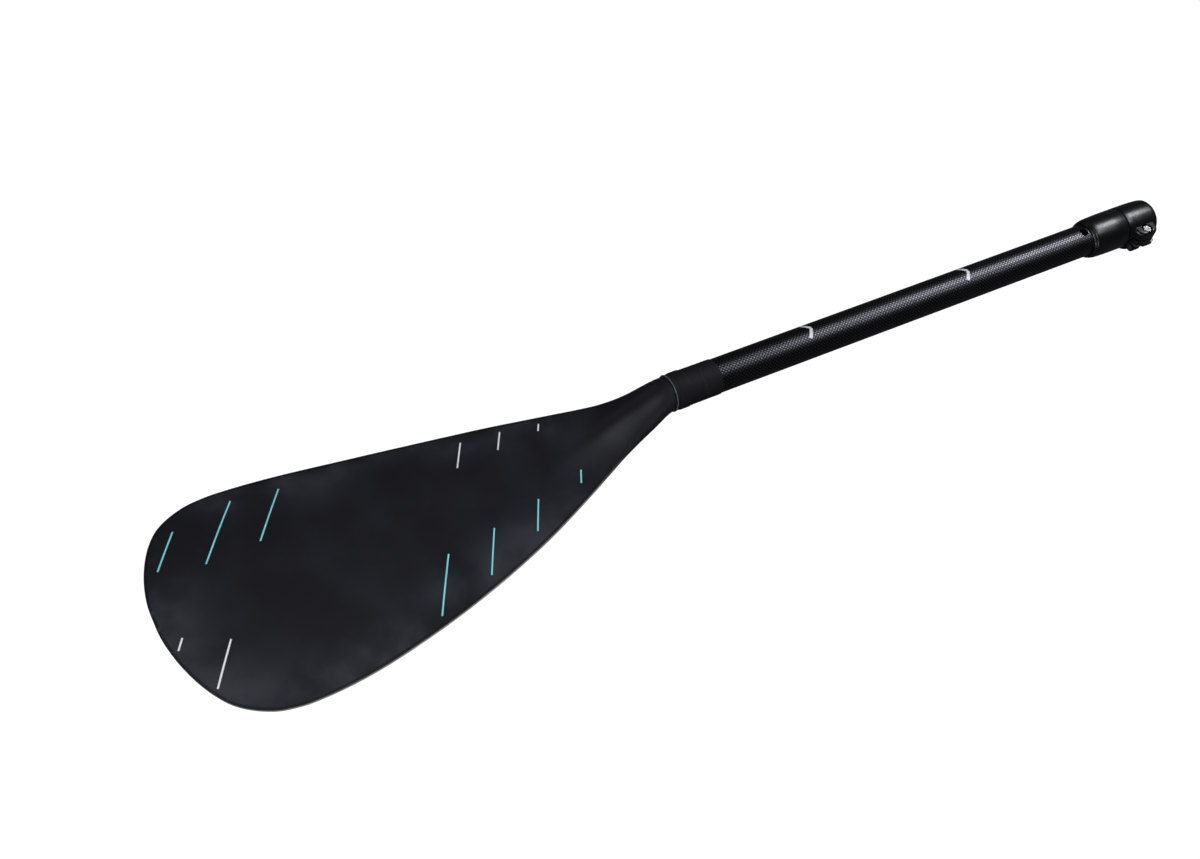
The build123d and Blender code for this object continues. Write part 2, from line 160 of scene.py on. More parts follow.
widest = 2 * half_width(WIDEST_AT)
print("blade is", BLADE_LEN, "mm long and", round(widest, 1), "mm wide")

# %% [markdown]
# The blade is set at an angle to the shaft, so that it stands upright in the
# water while the paddler pulls. A sharp corner would crease the neck, so the
# turn grows smoothly from none to the full angle over the first stretch.

# %% Blade lay
BLADE_LAY = math.radians(22.44)
LAY_OVER = 60.0              # mm over which the face turns to its full angle
KNEE = 17.0                  # mm, how soon the middle line starts to drop


def smooth(x):
    x = min(1.0, max(0.0, x))
    return x * x * (3.0 - 2.0 * x)


def blade_point(s, v, h):
    """A blade point in row coordinates, in metres."""
    turned = BLADE_LAY * smooth(s / LAY_OVER)
    lift = s * math.sin(BLADE_LAY) * math.exp(-(s / KNEE) ** 2)
    x = -s * math.cos(BLADE_LAY) - h * math.sin(turned)
    z = -s * math.sin(BLADE_LAY) + lift + h * math.cos(turned)
    return at(x, v, z)


print("the blade leaves the shaft at", round(math.degrees(BLADE_LAY), 2), "degrees")

# %% [markdown]
# The power face is scooped along the blade and falls away to both sides, and
# a low ridge runs out on it from the round neck. The back lies a little below
# it: thinnest at the outline, thicker along the middle, with a long spine.
# Both are sums of simple curves, so every term can be changed on its own.

# %% Face and back
SCOOP = 0.00994 / SHAFT_R    # the bend of the face along the blade, per mm
DIHEDRAL = -0.0144 / SHAFT_R     # its fall to both sides, per mm
EDGE_T = 3.0                 # thickness at the outline
MID_T = 4.0                  # this much more along the middle
THIN_FROM = 320.0            # from here to the tip the middle gets thinner
THIN_BY = 0.55
LENS_TO = 430.0              # the thick middle keeps its width from here on
LENS_LEAST = 30.0            # and is never narrower than this to each side
RIDGE_LEN = 128.0            # the ridge on the power face: length,
RIDGE_WIDE = 13.0            # half width at the neck, and growth per mm
RIDGE_GROWS = 0.06
SPINE_T = 12.5               # the spine on the back: height at the neck,
SPINE_LEN = 430.0            # length, half width and growth
SPINE_WIDE = 15.0
SPINE_GROWS = 0.05


def face_height(s, v):
    return SCOOP * s * s + DIHEDRAL * v * v


def bell(v, width):
    return math.exp(-(v / width) ** 2)


def top_height(s, v):
    rise = SHAFT_R * (1.0 - smooth(s / RIDGE_LEN))
    return face_height(s, v) + rise * bell(v, RIDGE_WIDE + RIDGE_GROWS * s)


def under_height(s, v):
    w = max(half_width(min(s, LENS_TO)), LENS_LEAST)
    across = max(0.0, 1.0 - (v / w) ** 2)
    thinner = smooth((s - THIN_FROM) / (BLADE_LEN - THIN_FROM))
    mid = MID_T * across * (1.0 - THIN_BY * thinner)
    spine = SPINE_T * (1.0 - smooth(s / SPINE_LEN))
    return (face_height(s, v) - EDGE_T - mid
            - spine * bell(v, SPINE_WIDE + SPINE_GROWS * s))


thickness = top_height(WIDEST_AT, 0.0) - under_height(WIDEST_AT, 0.0)
print("the middle is", round(thickness, 1), "mm thick where it is widest")

# %% [markdown]
# Across the blade, each section is a thin lens with rounded edges. At the
# neck it becomes a circle, because the tube has to enter it. Mixing the two
# shapes slowly over the first stretch gives the flowing neck of a moulded
# blade, which a boolean of a tube and a plate would never have.

# %% Blade sections
ROUND_FOR = 3.0              # the neck is a plain circle this far
NECK_BLEND = 92.0            # and a plain blade from here on


def neck_mix(s):
    return smooth((s - ROUND_FOR) / (NECK_BLEND - ROUND_FOR))


def section_height(s, v, w, face):
    """Height of the power face (1), the back (-1) or the middle (0)."""
    top = top_height(s, v)
    low = under_height(s, v)
    nose = min(1.0, (BLADE_LEN - s) / (0.5 * EDGE_T))
    half = 0.5 * (top - low) * math.sqrt(1.0 - (1.0 - nose) ** 2)
    end = 0.0
    if half > 0.0:
        d = max(0.0, w - abs(v))
        end = math.sqrt(max(0.0, 1.0 - (1.0 - min(1.0, d / min(half, w))) ** 2))
    circle = math.sqrt(max(0.0, 1.0 - (v / w) ** 2)) * SHAFT_R
    mix = neck_mix(s)
    return (mix * (0.5 * (top + low) + face * half * end)
            + (1.0 - mix) * face * circle)


neck_depth = 2 * section_height(0.0, 0.0, SHAFT_R, 1)
print("neck section is", round(neck_depth, 2), "mm deep")

# %% [markdown]
# A pressed blade is trimmed round its outline. Its side wall is painted pale there, as
# a reflection of the bright floor, and a fine dark line just inside it is painted as
# shade in a shallow groove. Both are too thin for the mesh. So each point of the mesh
# remembers how far it is from the outline, and the material draws them from that
# number later. A tree of outline points finds the nearest one quickly.

# %% Distance from the outline
OUTLINE_STEP = 0.4           # mm between two outline points
TIP_POINTS = 6               # points on each half of the blunt end
BLUNT = 0.05                 # mm from the end where its width is measured


def outline_tree():
    steps = int(BLADE_LEN / OUTLINE_STEP) + 1
    places = [OUTLINE_STEP * i for i in range(steps)] + [BLADE_LEN]
    points = [(s, way * half_width(s)) for s in places for way in (-1, 1)]
    tip = half_width(BLADE_LEN - BLUNT)
    points += [(BLADE_LEN, tip * k / TIP_POINTS)
               for k in range(-TIP_POINTS, TIP_POINTS + 1)]
    tree = KDTree(len(points))
    for i, (s, v) in enumerate(points):
        tree.insert((s, v, 0.0), i)
    tree.balance()
    return tree


outline = outline_tree()


def edge_distance(s, v):
    return outline.find((s, v, 0.0))[2]


print("from the middle to the outline:", round(edge_distance(WIDEST_AT, 0.0), 1))

# %% [markdown]
# Each mesh that takes the place of a CAD node goes through the same steps: it becomes
# an object, its faces are shaded smooth, it is hung on the body it rides on, and the
# CAD nodes it stands for are hidden. One function does all of it, so that no piece can
# miss a step.

# %% Mesh helper
def add_mesh(name, verts, faces, body, stands_for):
    mesh = bpy.data.meshes.new(name)
    mesh.from_pydata([tuple(v) for v in verts], [], faces)
    mesh.update()
    piece = bpy.data.objects.new(name, mesh)
    bpy.context.scene.collection.objects.link(piece)
    for face in mesh.polygons:
        face.use_smooth = True
    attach(piece, body)
    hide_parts(*stands_for)
    print(name, len(verts), "points,", len(faces), "faces")
    return piece


print("mesh helper ready")

# %% [markdown]
# Each skin is its own closed mesh, a grid of sections from neck to tip. The
# sections crowd together at the tip and the points crowd together at the
# edges, because that is where the surface turns fastest. An even grid would
# need many times the faces for the same crisp edge.

# %% Points of a skin
ROWS = 150
COLUMNS = 96
TIP_SHORT = 0.02             # mm left off, so that the last row isn't a point
TIP_CROWD = 1.8              # how much the rows crowd towards the tip
PARTING_GAP = 0.04           # mm between the two skins


def row_places():
    """Places down the blade, closer together towards the tip."""
    places = []
    for i in range(ROWS):
        u = i / (ROWS - 1)
        places.append((BLADE_LEN - TIP_SHORT) * (1.0 - (1.0 - u) ** TIP_CROWD))
    return places


def skin_points(face):
    """For each row the outer points, then those of the parting surface."""
    gap = 0.5 * PARTING_GAP * face
    verts = []
    distances = []
    for s in row_places():
        w = half_width(s)
        for shown in (face, 0):
            for j in range(COLUMNS + 1):
                v = w * math.cos(math.pi * j / COLUMNS)
                edge = j in (0, COLUMNS)
                h = section_height(s, v, w, 0 if edge else shown)
                verts.append(blade_point(s, v, h + gap))
                distances.append(edge_distance(s, v))
    return verts, distances


print("each skin has", ROWS, "rows of", 2 * (COLUMNS + 1), "points")

# %% [markdown]
# The faces join each row to the next one, and two strips close the mesh at
# the neck and at the tip. Both surfaces of a skin meet at the outline, so
# there the grid has double points. Merging them makes it one closed mesh, and
# each point keeps the distance it remembers.

# %% Blade skins
SAME_POINT = 0.000004        # m, points closer than this become one


def skin_faces(face):
    """Both surfaces of a skin, then the strips that close neck and tip."""
    ring = 2 * (COLUMNS + 1)
    faces = []
    for i in range(ROWS - 1):
        for j in range(COLUMNS):
            for base, flip in ((0, face > 0), (COLUMNS + 1, face < 0)):
                a = i * ring + base + j
                quad = (a, a + 1, a + 1 + ring, a + ring)
                faces.append(quad if flip else quad[::-1])
    for i, flip in ((0, face < 0), (ROWS - 1, face > 0)):
        for j in range(COLUMNS):
            a = i * ring + j
            b = a + COLUMNS + 1
            quad = (a, a + 1, b + 1, b)
            faces.append(quad if flip else quad[::-1])
    return faces


def blade_skin(name, face, stands_for):
    verts, distances = skin_points(face)
    piece = add_mesh(name, verts, skin_faces(face), "paddle",
                     stands_for)
    memory = piece.data.attributes.new("edge_distance", "FLOAT", "POINT")
    memory.data.foreach_set("value", distances)
    tidy = bmesh.new()
    tidy.from_mesh(piece.data)
    bmesh.ops.remove_doubles(tidy, verts=tidy.verts, dist=SAME_POINT)
    bmesh.ops.recalc_face_normals(tidy, faces=tidy.faces)
    tidy.to_mesh(piece.data)
    tidy.free()
    return piece


front_skin = blade_skin("power_face", 1, ("blade_front_skin",))
back_skin = blade_skin("back_face", -1, ("blade_back_skin",))

# %% [markdown]
# ## The joint sleeve
# A sleeve of shrink tube hides the glued joint. It hugs what is under it, so
# it is never a true cylinder: a band stands up near the blade, and the film
# is faintly uneven. A turned profile with a little seeded noise does this
# with far fewer points than a sculpt. The noise only ever pulls the film
# inwards, so the sleeve never stands past its profile.

# %% Joint sleeve
SLEEVE_PROFILE = (
    (-2.65, 15.95), (-2.7, 16.15), (-2.5, 16.28), (-1.6, 16.3), (0.6, 16.3),
    (1.4, 16.42), (1.9, 16.66), (2.6, 16.78), (6.5, 16.8), (10.2, 16.78),
    (11.0, 16.62), (11.6, 16.36), (12.4, 16.22), (20.0, 16.16), (30.0, 16.14),
    (40.0, 16.16), (42.0, 16.12), (42.8, 15.98), (43.0, 15.8), (42.9, 15.56),
    (20.0, 15.56), (0.3, 15.56), (0.1, 15.9), (-2.6, 15.9))
SLEEVE_STEP = 1.0            # mm between two points of the refined profile
AROUND_STEPS = 128
RIPPLES = 9                  # waves that add up to the unevenness
RIPPLE_DEPTH = 0.012         # mm per wave
PULLED_IN = 0.02             # mm that the whole film is drawn in

waves = random.Random(7)
ripples = [(waves.uniform(0.12, 0.5), waves.randint(1, 5), waves.uniform(0, 6.28))
           for _ in range(RIPPLES)]


def shrink_wobble(t, angle):
    rough = sum(math.sin(k * t + n * angle + p) for k, n, p in ripples)
    return min(0.0, RIPPLE_DEPTH * rough - PULLED_IN)


def refine(profile, step):
    """The same profile with points no further apart than two steps."""
    fine = []
    for (t0, r0), (t1, r1) in zip(profile, profile[1:] + profile[:1]):
        parts = max(1, int(abs(t1 - t0) / step))
        for i in range(parts):
            fine.append((t0 + (t1 - t0) * i / parts, r0 + (r1 - r0) * i / parts))
    return tuple(fine)


def turned_piece(name, profile, body, stands_for, wobble):
    verts = []
    for k in range(AROUND_STEPS):
        angle = 2.0 * math.pi * k / AROUND_STEPS
        for t, r in profile:
            r = r + wobble(t, angle)
            verts.append(at(t, r * math.sin(angle), r * math.cos(angle)))
    n = len(profile)
    faces = []
    for k in range(AROUND_STEPS):
        for i in range(n):
            a = k * n + i
            b = k * n + (i + 1) % n
            c = ((k + 1) % AROUND_STEPS) * n
            faces.append((a, b, c + (i + 1) % n, c + i))
    return add_mesh(name, verts, faces, body, stands_for)


sleeve = turned_piece("shrunk_sleeve", refine(SLEEVE_PROFILE, SLEEVE_STEP), "paddle",
                      ("joint_sleeve",), shrink_wobble)

# %% [markdown]
# ## Softer edges on the moulded parts
# No moulded or turned part has a knife edge. The CAD solids of the collar,
# the lever, the screw and its barrel already have the right shape, so they
# stay, and a narrow bevel on their sharp edges is enough to catch the light.

# %% Edge softening
CORNER = math.radians(38.0)  # only edges that turn more than this are softened
WELDED = 0.000002            # m, closes the seams between CAD faces


def soften(name, width):
    node = nodes[name]
    weld = node.modifiers.new("weld", "WELD")
    weld.merge_threshold = WELDED
    bevel = node.modifiers.new("soft_edges", "BEVEL")
    bevel.width = width
    bevel.segments = 2
    bevel.limit_method = "ANGLE"
    bevel.angle_limit = CORNER
    bevel.harden_normals = False
    print(name, "edges softened by", width * 1000.0, "mm")


for name, width in (("clamp_collar", 0.00035), ("cam_lever", 0.00035),
                    ("clamp_screw", 0.00015), ("lever_barrel", 0.0002)):
    soften(name, width)

# %% [markdown]
# ## Materials: the tools first
# A node tree could be joined by hand in the shader editor, but here each tree
# is written down, so that it can be read and built again. Every line would
# repeat the same three steps: add a node, set its values, join it. A small
# class takes those over. It lets a sum of nodes be written almost like a sum
# of numbers.

# %% Node helpers
class Wiring:
    """Adds nodes to one tree and joins them as it goes."""

    def __init__(self, tree):
        self.tree = tree
        self.column = 0

    def add(self, kind, **values):
        node = self.tree.nodes.new(kind)
        node.location = (180 * self.column, -40 * (self.column % 7))
        self.column += 1
        for key, value in values.items():
            setattr(node, key, value)
        return node

    def feed(self, socket, value):
        if isinstance(value, bpy.types.NodeSocket):
            self.tree.links.new(value, socket)
        else:
            socket.default_value = value

    def feed_all(self, sockets, values):
        for socket, value in zip(sockets, values):
            self.feed(socket, value)

    def math(self, operation, a, b=0.0, c=0.0):
        node = self.add("ShaderNodeMath", operation=operation)
        self.feed_all(node.inputs, (a, b, c))
        return node.outputs[0]

    def dot(self, a, b):
        node = self.add("ShaderNodeVectorMath", operation="DOT_PRODUCT")
        self.feed_all(node.inputs, (a, b))
        return node.outputs["Value"]

    def mix(self, factor, a, b):
        """Colour a where the factor is 0, colour b where it is 1."""
        node = self.add("ShaderNodeMix", data_type="RGBA")
        self.feed_all((node.inputs[0], node.inputs[6], node.inputs[7]),
                      (factor, a, b))
        return node.outputs[2]

    def blend(self, factor, a, b):
        """The same for two plain values."""
        node = self.add("ShaderNodeMix", data_type="FLOAT")
        self.feed_all((node.inputs[0], node.inputs[2], node.inputs[3]),
                      (factor, a, b))
        return node.outputs[0]

    def step(self, value, low, high):
        """0 below low, 1 above high, smooth between."""
        node = self.add("ShaderNodeMapRange", interpolation_type="SMOOTHSTEP")
        self.feed_all(node.inputs, (value, low, high, 0.0, 1.0))
        return node.outputs[0]

    def fall(self, value, low, high):
        """1 below low, 0 above high, smooth between."""
        return self.math("SUBTRACT", 1.0, self.step(value, low, high))

    def noise(self, vector, scale, detail, roughness):
        node = self.add("ShaderNodeTexNoise")
        self.feed(node.inputs["Vector"], vector)
        self.feed(node.inputs["Scale"], scale)
        self.feed(node.inputs["Detail"], detail)
        self.feed(node.inputs["Roughness"], roughness)
        return node.outputs["Fac"]

    def group(self, group, **values):
        node = self.add("ShaderNodeGroup", node_tree=group)
        for key, value in values.items():
            self.feed(node.inputs[key.replace("_", " ")], value)
        return node


print("node helpers ready")

# %% [markdown]
# An effect that several materials share is a node group: it is built once,
# with named inputs and outputs, and placed in each material with its own
# values. A material could hold a copy of the nodes instead, but then a change
# would have to be made in every copy.

# %% Group helper
def new_group(name, inputs, outputs):
    """An empty shader group; inputs and outputs are (name, kind, default)."""
    group = bpy.data.node_groups.new(name, "ShaderNodeTree")
    for in_out, sockets in (("INPUT", inputs), ("OUTPUT", outputs)):
        for label, kind, default in sockets:
            socket = group.interface.new_socket(label, in_out=in_out,
                                                socket_type="NodeSocket" + kind)
            if default is not None:
                socket.default_value = default
    wires = Wiring(group)
    start = wires.add("NodeGroupInput")
    end = wires.add("NodeGroupOutput")
    return group, wires, start.outputs, end.inputs


print("group helper ready")

# %% [markdown]
# The marks and the weave follow the paddle, not the room. Two small groups
# turn a plain object position into useful numbers, in millimetres: one gives
# the place along and around the tube, the other the place down and across the
# blade, and whether the surface is its power face. An unwrapped texture could
# do it too, but it would have to be unwrapped again after every change.

# %% Place on the tube and on the blade
FACE_UP = (0.2, 0.5)         # the upward part of the normal, from back to face
IN_MM = 1000.0               # millimetres in a metre


def mm_along(w, position, direction):
    """How far a position lies from the neck in one direction, in mm."""
    return w.math("MULTIPLY_ADD", w.dot(position, tuple(direction)), IN_MM,
                  -IN_MM * direction.dot(neck))


def make_tube_place():
    group, w, given, result = new_group(
        "place_on_tube", [("Position", "Vector", None)],
        [("Along", "Float", None), ("Around", "Float", None)])
    t, y, z = (mm_along(w, given[0], axis) for axis in (along, side, out))
    w.feed(result[0], t)
    w.feed(result[1], w.math("MULTIPLY", w.math("ARCTAN2", y, z), SHAFT_R))
    return group


def make_blade_place():
    group, w, given, result = new_group(
        "place_on_blade", [("Position", "Vector", None)],
        [("Down", "Float", None), ("Across", "Float", None),
         ("Face", "Float", None)])
    down = lean(-math.cos(BLADE_LAY), 0.0, -math.sin(BLADE_LAY))
    w.feed(result[0], mm_along(w, given[0], down))
    w.feed(result[1], mm_along(w, given[0], side))
    normal = w.add("ShaderNodeNewGeometry").outputs["Normal"]
    w.feed(result[2], w.step(w.dot(normal, (0.0, 0.0, 1.0)), *FACE_UP))
    return group


tube_place = make_tube_place()
blade_place = make_blade_place()
print("groups:", tube_place.name, blade_place.name)

# %% [markdown]
# Thin painted stripes cross the blade at a steep slant. They could be
# separate strips of mesh, but paint has no thickness, so each one is a mask:
# the distance from a line, cut off at both ends. One group draws one stripe,
# and the blade uses it once for each.

# %% Stripe group
def make_stripe():
    group, w, given, result = new_group(
        "painted_stripe",
        [("Down", "Float", 0.0), ("Across", "Float", 0.0),
         ("Start Down", "Float", 0.0), ("Start Across", "Float", 0.0),
         ("End Down", "Float", 1.0), ("End Across", "Float", 0.0),
         ("Half Width", "Float", 0.7), ("Blur", "Float", 0.15)],
        [("Mask", "Float", None)])
    dx = w.math("SUBTRACT", given["End Down"], given["Start Down"])
    dy = w.math("SUBTRACT", given["End Across"], given["Start Across"])
    px = w.math("SUBTRACT", given["Down"], given["Start Down"])
    py = w.math("SUBTRACT", given["Across"], given["Start Across"])
    length = w.math("SQRT", w.math("ADD", w.math("MULTIPLY", dx, dx),
                                   w.math("MULTIPLY", dy, dy)))
    run = w.math("DIVIDE", w.math("ADD", w.math("MULTIPLY", px, dx),
                                  w.math("MULTIPLY", py, dy)), length)
    off = w.math("ABSOLUTE", w.math("DIVIDE", w.math(
        "SUBTRACT", w.math("MULTIPLY", px, dy), w.math("MULTIPLY", py, dx)), length))
    beyond = w.math("MAXIMUM", w.math("MULTIPLY", run, -1.0),
                    w.math("SUBTRACT", run, length))
    over = w.math("MAXIMUM", beyond, w.math("SUBTRACT", off, given["Half Width"]))
    fade = w.add("ShaderNodeMapRange")
    w.feed(fade.inputs["Value"], over)
    w.feed(fade.inputs["From Min"], given["Blur"])
    w.feed(fade.inputs["From Max"], w.math("MULTIPLY", given["Blur"], -1.0))
    w.feed(result[0], fade.outputs[0])
    return group


stripe_group = make_stripe()
print("group:", stripe_group.name)

# %% [markdown]
# Two more effects are shared. *Clouded film* is the slow unevenness of a
# laminate or a moulding: faint patches and streaks, paler or duller than the
# rest. *Fine grain* is the small texture that keeps a black plastic from
# looking like black glass. Both put out plain values, so each material
# decides how much of them it wants.

# %% Cloud and grain groups
SPECK_SCALE = 0.31           # so a speck is about three grains wide


def make_clouded_film():
    group, w, given, result = new_group(
        "clouded_film",
        [("Position", "Vector", None), ("Patch Size", "Float", 0.05),
         ("Streak Size", "Float", 0.004)],
        [("Patches", "Float", None), ("Streaks", "Float", None)])
    per_patch = w.math("DIVIDE", 1.0, given["Patch Size"])
    per_streak = w.math("DIVIDE", 1.0, given["Streak Size"])
    patches = w.noise(given["Position"], per_patch, detail=4.0, roughness=0.55)
    streaks = w.noise(given["Position"], per_streak, detail=5.0, roughness=0.6)
    w.feed(result[0], w.step(patches, low=0.3, high=0.7))
    w.feed(result[1], w.step(streaks, low=0.35, high=0.75))
    return group


def make_fine_grain():
    group, w, given, result = new_group(
        "fine_grain",
        [("Position", "Vector", None), ("Grain Size", "Float", 0.0004)],
        [("Height", "Float", None), ("Specks", "Float", None)])
    per_grain = w.math("DIVIDE", 1.0, given["Grain Size"])
    per_speck = w.math("MULTIPLY", per_grain, SPECK_SCALE)
    grain = w.noise(given["Position"], per_grain, detail=2.0, roughness=0.5)
    specks = w.noise(given["Position"], per_speck, detail=2.0, roughness=0.7)
    w.feed(result[0], grain)
    w.feed(result[1], w.step(specks, low=0.62, high=0.8))
    return group


clouded_film = make_clouded_film()
fine_grain = make_fine_grain()
print("groups:", clouded_film.name, fine_grain.name)

# %% [markdown]
# Each finish is one Principled shader. What is the same all over the surface
# is set straight on its sockets; what changes over the surface is fed in by
# nodes. The bump is kept very shallow: the shapes themselves are mesh, and
# the bump only adds what a fingertip would just feel.

# %% Material helper
def new_material(name, colour, **shader_values):
    """A material with one Principled shader; constant values go on its sockets."""
    material = bpy.data.materials.new(name)
    material.use_nodes = True
    tree = material.node_tree
    tree.nodes.clear()
    w = Wiring(tree)
    place = w.add("ShaderNodeTexCoord").outputs["Object"]
    shader = w.add("ShaderNodeBsdfPrincipled")
    finish = w.add("ShaderNodeOutputMaterial")
    tree.links.new(shader.outputs[0], finish.inputs["Surface"])
    shader.inputs["Base Color"].default_value = (*colour, 1.0)
    for key, value in shader_values.items():
        shader.inputs[key.replace("_", " ")].default_value = value
    material.diffuse_color = (*colour, 1.0)
    return material, w, place, shader


def bump(w, shader, height, strength, distance):
    node = w.add("ShaderNodeBump")
    node.inputs["Strength"].default_value = strength
    node.inputs["Distance"].default_value = distance
    w.feed(node.inputs["Height"], height)
    w.feed(shader.inputs["Normal"], node.outputs[0])


def paint(piece, material):
    piece.data.materials.clear()
    piece.data.materials.append(material)


print("material helper ready")

# %% [markdown]
# ## Marks on the blade
# The stripes are teal and white, and only on the power face. Each row of the
# two tables is one stripe: where it starts and where it ends, down the blade
# and across it, in millimetres. Laying the same mask over and over costs a
# few nodes, but each stripe can be moved by changing one row.

# %% Painted stripes
TEAL = (0.27, 0.76, 0.80, 1.0)
WHITE = (0.88, 0.88, 0.89, 1.0)
TEAL_HALF = 0.62             # half widths of the stripes, in mm
WHITE_HALF = 0.66
TEAL_STRIPES = (
    (363.8, 93.2, 397.3, 37.7), (326.4, 88.5, 354.8, 42.3),
    (410.9, 79.7, 430.4, 44.5), (101.2, -20.7, 106.9, -31.5),
    (144.5, -26.2, 158.6, -51.9), (188.0, -32.1, 208.8, -68.8),
    (230.4, -36.0, 258.5, -82.9))
WHITE_STRIPES = (
    (177.1, 59.0, 189.8, 36.2), (143.4, 51.1, 152.6, 34.9),
    (111.2, 39.8, 114.8, 33.5), (402.5, -35.4, 424.9, -71.3),
    (432.0, -21.1, 437.8, -30.8))


def any_of(w, masks):
    total = masks[0]
    for mask in masks[1:]:
        total = w.math("MAXIMUM", total, mask)
    return total


def stripe_masks(w, place, rows, half):
    masks = []
    for s0, v0, s1, v1 in rows:
        node = w.group(stripe_group, Down=place.outputs["Down"],
                       Across=place.outputs["Across"], Start_Down=s0,
                       Start_Across=v0, End_Down=s1, End_Across=v1,
                       Half_Width=half)
        masks.append(node.outputs[0])
    return w.math("MULTIPLY", any_of(w, masks), place.outputs["Face"])


print(len(TEAL_STRIPES), "teal and", len(WHITE_STRIPES), "white stripes")

# %% [markdown]
# ## Blade laminate
# The blade is a dark blue-grey laminate with a satin release finish. Its roughness
# drifts a little in cloudy patches, most of all near the outline, and the colour of
# those patches is painted paler as a painted sheen. The scuffed last stretch at the
# tip is a little paler. The side wall is painted pale too, as a reflection of the
# bright floor, and the dark line just inside it is painted shade in a shallow groove.
# Both are drawn from the distance that each mesh point carries.

# %% Blade material
LAMINATE = (0.0056, 0.0052, 0.0084, 1.0)
# The next colour is a painted sheen: paler cloudy patches that stand in for light
# catching the laminate.
PAINTED_SHEEN = (0.0270, 0.0285, 0.0370, 1.0)
SCUFFED = (0.030, 0.030, 0.034, 1.0)
# The dark line colour is painted shade in the shallow groove just inside the outline.
GROOVE_SHADE = (0.001, 0.001, 0.002, 1.0)
# The side wall colour is a painted reflection of the bright floor, not the laminate's
# own colour.
PAINTED_WALL_REFLECTION = (0.30, 0.285, 0.27, 1.0)
SHEEN_BAND = (8.0, 48.0)      # mm from the outline over which the haze thins
LIT_WALL_BAND = (0.2, 0.7)       # where the side wall ends
LINE_STARTS = (0.4, 0.9)
LINE_ENDS = (2.3, 3.3)
PAST_NECK = (60.0, 120.0)    # mm down the blade; none of it shows on the neck
SCUFF_BAND = (428.0, BLADE_LEN)
CLOUD_POWER = 1.6            # above 1, so only the thick of the haze shows
SHEEN_EVEN = 0.2              # share of the haze that is all over the blade,
SHEEN_OUTER = 0.8             # and share that is near the outline only
SCUFF_SHOWS = 0.35           # how much of each colour is let through
GROOVE_SHADE_SHOWS = 0.85
LIT_WALL_SHOWS = 0.9
GRAIN_HIGH = 0.02            # height of the grain; the line is 1 deep
PLAIN_ROUGH = 0.44           # roughness of the clean laminate,
SHEEN_ROUGH = 0.12            # what the haze adds,
STREAK_ROUGH = 0.05          # and what the streaks add


def make_blade_laminate():
    material, w, place, shader = new_material(
        "blade_laminate", (0.007, 0.0075, 0.009), Specular_IOR_Level=0.4)
    spot = w.group(blade_place, Position=place)
    film = w.group(clouded_film, Position=place, Patch_Size=0.05, Streak_Size=0.005)
    grain = w.group(fine_grain, Position=place, Grain_Size=0.0005)
    edge = w.add("ShaderNodeAttribute", attribute_name="edge_distance").outputs["Fac"]
    # painted sheen: paler cloudy patches, mostly near the outline
    outer = w.fall(edge, *SHEEN_BAND)
    cloud = w.math("POWER", film.outputs["Patches"], CLOUD_POWER)
    past_neck = w.step(spot.outputs["Down"], *PAST_NECK)
    cloud_and_sheen = w.math("MULTIPLY", w.math("MULTIPLY", cloud, past_neck),
                   w.math("MULTIPLY_ADD", outer, SHEEN_OUTER, SHEEN_EVEN))
    body = w.mix(cloud_and_sheen, LAMINATE, PAINTED_SHEEN)
    scuff = w.math("MULTIPLY", w.step(spot.outputs["Down"], *SCUFF_BAND),
                   film.outputs["Streaks"])
    body = w.mix(w.math("MULTIPLY", scuff, SCUFF_SHOWS), body, SCUFFED)
    # the side wall painted pale as a reflection of the floor, and the dark line just
    # inside it painted as shade in its groove
    lit_wall = w.math("MULTIPLY", past_neck, w.fall(edge, *LIT_WALL_BAND))
    groove = w.math("MULTIPLY", past_neck, w.math(
        "MULTIPLY", w.step(edge, *LINE_STARTS), w.fall(edge, *LINE_ENDS)))
    body = w.mix(w.math("MULTIPLY", groove, GROOVE_SHADE_SHOWS), body, GROOVE_SHADE)
    body = w.mix(w.math("MULTIPLY", lit_wall, LIT_WALL_SHOWS), body, PAINTED_WALL_REFLECTION)
    body = w.mix(stripe_masks(w, spot, TEAL_STRIPES, TEAL_HALF), body, TEAL)
    body = w.mix(stripe_masks(w, spot, WHITE_STRIPES, WHITE_HALF), body, WHITE)
    w.feed(shader.inputs["Base Color"], body)
    # the patches of painted sheen are duller than the rest, and the line with its
    # painted shade is a shallow groove
    rough = w.math("MULTIPLY_ADD", cloud_and_sheen, SHEEN_ROUGH, PLAIN_ROUGH)
    rough = w.math("MULTIPLY_ADD", film.outputs["Streaks"], STREAK_ROUGH, rough)
    w.feed(shader.inputs["Roughness"], rough)
    height = w.math("MULTIPLY_ADD", grain.outputs["Height"], GRAIN_HIGH,
                    w.math("MULTIPLY", groove, -1.0))
    bump(w, shader, height, strength=0.6, distance=0.00035)
    return material


laminate = make_blade_laminate()
paint(front_skin, laminate)
paint(back_skin, laminate)
print("painted both skins with", laminate.name)

# %% [markdown]
# ## Woven tube
# The tube is braided from flat tows of black fibre laid at 45 degrees, under a clear
# coat. Each tow runs over one and under the next, so each little diamond is tilted its
# own way and catches the light differently. The group works out which tow is on top
# and how high it stands. Its tone is partly the fibre's own, paler than the resin, and
# partly painted highlight: the crest of each tow and the crossing tows are made paler
# for the way they catch the light. Modelling the tows would take far too many faces
# for something this fine.

# %% Weave group
ROOT_TWO = 1.41421
FLAT_ACROSS = 0.8            # below 1: a tow is flat on top with steep sides
FLAT_ALONG = 0.6
# Paler crests and paler crossing tows are painted highlight, for the way each tow
# catches the light; the resin being darker than the fibre is their own colour.
CREST_GLINT_POWER = 1.5             # above 1: only the top of a tow is pale
TONE_FIRST = 0.7             # the tows of one direction are this pale,
CROSSING_GLINT = 0.3              # and the crossing ones are paler by this


